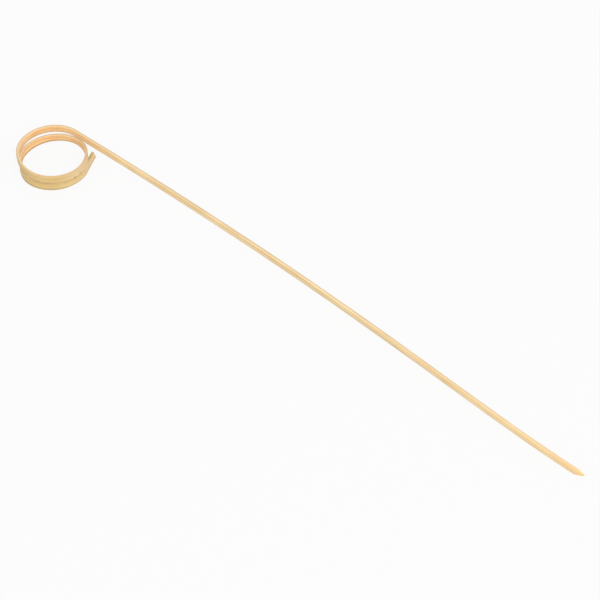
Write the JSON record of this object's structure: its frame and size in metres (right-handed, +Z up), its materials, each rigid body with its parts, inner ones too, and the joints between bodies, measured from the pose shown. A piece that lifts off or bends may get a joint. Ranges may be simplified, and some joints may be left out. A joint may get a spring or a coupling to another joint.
{
  "type": "spiral bamboo pick",
  "caption": "Long serving pick of split bamboo: a flat splint wound into an open ring-shaped coil at one end, with a slightly bowed shaft cut to a point at the other.",
  "frame": {"origin": "on the table that the pick lies on, under the middle of its outline", "axes": "+X along the shaft from the coil to the point, +Z up along the axis of the coil"},
  "size_m": [0.251, 0.0276, 0.0092],
  "materials": {
    "bamboo": "smooth split bamboo with lengthwise fibres, satin",
    "bamboo_cut": "freshly cut bamboo, matt"
  },
  "bodies": {
    "coil": {"coil": "bamboo", "shaft_root": "bamboo"},
    "shaft": {"shaft": "bamboo", "point": "bamboo_cut"},
    "loose_end": {"loose_end": "bamboo"}
  },
  "joints": [
    {"name": "shaft_bend", "type": "hinge", "parent": "coil", "child": "shaft", "pos_m": [-0.07648, 0.0125, 0.00677], "axis": [0, 0, 1], "range_deg": [-15, 15], "stiffness_Nm_per_rad": 0.032},
    {"name": "loose_end_spring", "type": "hinge", "parent": "coil", "child": "loose_end", "pos_m": [-0.10117, 0.00641, 0.0012], "axis": [0, 0, 1], "range_deg": [-8, 10], "stiffness_Nm_per_rad": 0.13}
  ]
}
